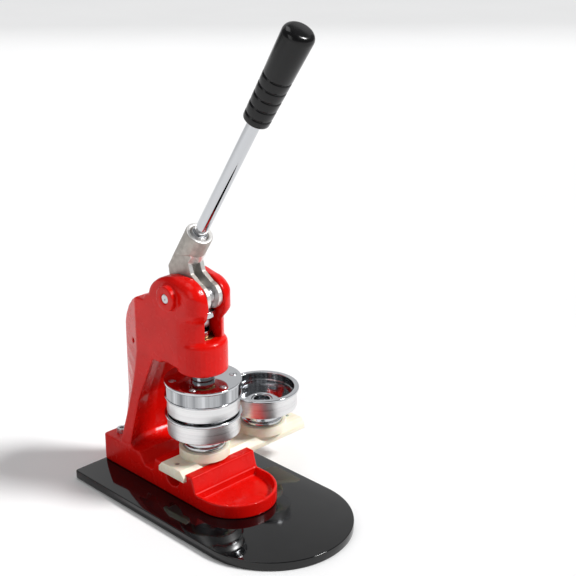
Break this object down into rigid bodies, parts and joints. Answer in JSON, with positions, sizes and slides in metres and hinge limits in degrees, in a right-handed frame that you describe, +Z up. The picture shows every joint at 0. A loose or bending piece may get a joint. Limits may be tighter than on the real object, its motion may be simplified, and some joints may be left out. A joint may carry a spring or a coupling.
{
  "type": "button badge press",
  "caption": "Hand lever press for round pin badges: cast frame on an acrylic board, crank-driven ram with a sprung upper die, and a sliding rail with two lower dies.",
  "frame": {"origin": "on the ram axis at the underside of the base board", "axes": "+Z up along the ram; -Y towards the operator and the board's round front; +X towards the idle lower die"},
  "size_m": [0.2099, 0.2984, 0.4992],
  "materials": {
    "red_paint": "glossy enamel over cast metal",
    "black_acrylic": "polished cast acrylic sheet",
    "chrome": "polished chrome plate",
    "brushed_steel": "fine turned or brushed",
    "spring_steel": "drawn wire",
    "cast_aluminium": "blasted casting with milled edges",
    "bronze": "sintered bushing",
    "cream_nylon": "machined nylon, satin",
    "black_grip": "moulded PVC, glossy"
  },
  "bodies": {
    "frame": {"base_board": "black_acrylic", "base_bolt_left": "chrome", "base_bolt_right": "chrome", "base_nut_left": "brushed_steel", "base_nut_right": "brushed_steel", "front_screw_left": "brushed_steel", "front_screw_right": "brushed_steel", "frame_casting": "red_paint", "ram_bush_lower": "bronze", "ram_bush_upper": "bronze", "pivot_pin": "brushed_steel", "rail_stop_screw": "brushed_steel", "return_spring": "spring_steel"},
    "handle": {"handle_fork": "cast_aluminium", "crank_pin": "brushed_steel", "fork_set_screw": "brushed_steel", "rod_sleeve": "brushed_steel", "handle_rod": "chrome", "handle_grip": "black_grip"},
    "link": {"link": "brushed_steel"},
    "ram": {"ram": "chrome", "ram_pin": "brushed_steel", "ram_nut": "chrome", "spring_collar": "brushed_steel", "upper_die_plate": "chrome", "upper_die_shell": "chrome", "upper_punch": "chrome", "punch_bolt": "brushed_steel", "plate_screw_1": "brushed_steel", "plate_screw_2": "brushed_steel", "plate_screw_3": "brushed_steel", "crimp_ring_spring": "spring_steel"},
    "crimp_ring": {"crimp_ring": "brushed_steel", "ring_bolt_1": "brushed_steel", "ring_bolt_2": "brushed_steel", "ring_bolt_3": "brushed_steel"},
    "rail": {"slide_rail": "cream_nylon", "rail_end_screw_left": "brushed_steel", "rail_end_screw_right": "brushed_steel", "die_foot_1": "chrome", "die_foot_2": "chrome", "die_cup_1": "chrome", "die_cup_2": "chrome", "die_bolt_1": "brushed_steel", "die_bolt_2": "brushed_steel", "wave_spring_1": "spring_steel", "wave_spring_2": "spring_steel"},
    "platform_1": {"die_platform_1": "brushed_steel"},
    "platform_2": {"die_platform_2": "brushed_steel"}
  },
  "joints": [
    {"name": "handle_swing", "type": "hinge", "parent": "frame", "child": "handle", "pos_m": [0, 0.0166, 0.21825], "axis": [1, 0, 0], "range_deg": [0, 30], "stiffness_Nm_per_rad": 2.5, "springref_deg": -68.75},
    {"name": "link_swing", "type": "hinge", "parent": "handle", "child": "link", "pos_m": [0, -0.008, 0.21945], "axis": [1, 0, 0], "range_deg": [-36.5, 0.5]},
    {"name": "ram_slide", "type": "slide", "parent": "frame", "child": "ram", "axis": [0, 0, -1], "range_m": [0, 0.0132], "stiffness_N_per_m": 900, "springref_m": -0.015, "deforming": ["return_spring"]},
    {"name": "ring_float", "type": "slide", "parent": "ram", "child": "crimp_ring", "axis": [0, 0, 1], "range_m": [0, 0.0116], "deforming": ["crimp_ring_spring"]},
    {"name": "rail_slide", "type": "slide", "parent": "frame", "child": "rail", "axis": [-1, 0, 0], "range_m": [0, 0.0822]},
    {"name": "platform_press_1", "type": "slide", "parent": "rail", "child": "platform_1", "axis": [0, 0, -1], "range_m": [0, 0.0018], "stiffness_N_per_m": 3000, "springref_m": -0.001, "deforming": ["wave_spring_1"]},
    {"name": "platform_press_2", "type": "slide", "parent": "rail", "child": "platform_2", "axis": [0, 0, -1], "range_m": [0, 0.0018], "stiffness_N_per_m": 3000, "springref_m": -0.001, "deforming": ["wave_spring_2"]}
  ],
  "couplings": [
    {"joint": "ram_slide", "follows": "handle_swing", "m_per_rad": 0.024828},
    {"joint": "link_swing", "follows": "handle_swing", "ratio": -1.14},
    {"joint": "ring_float", "follows": "handle_swing", "m_per_rad": 0.021772}
  ]
}
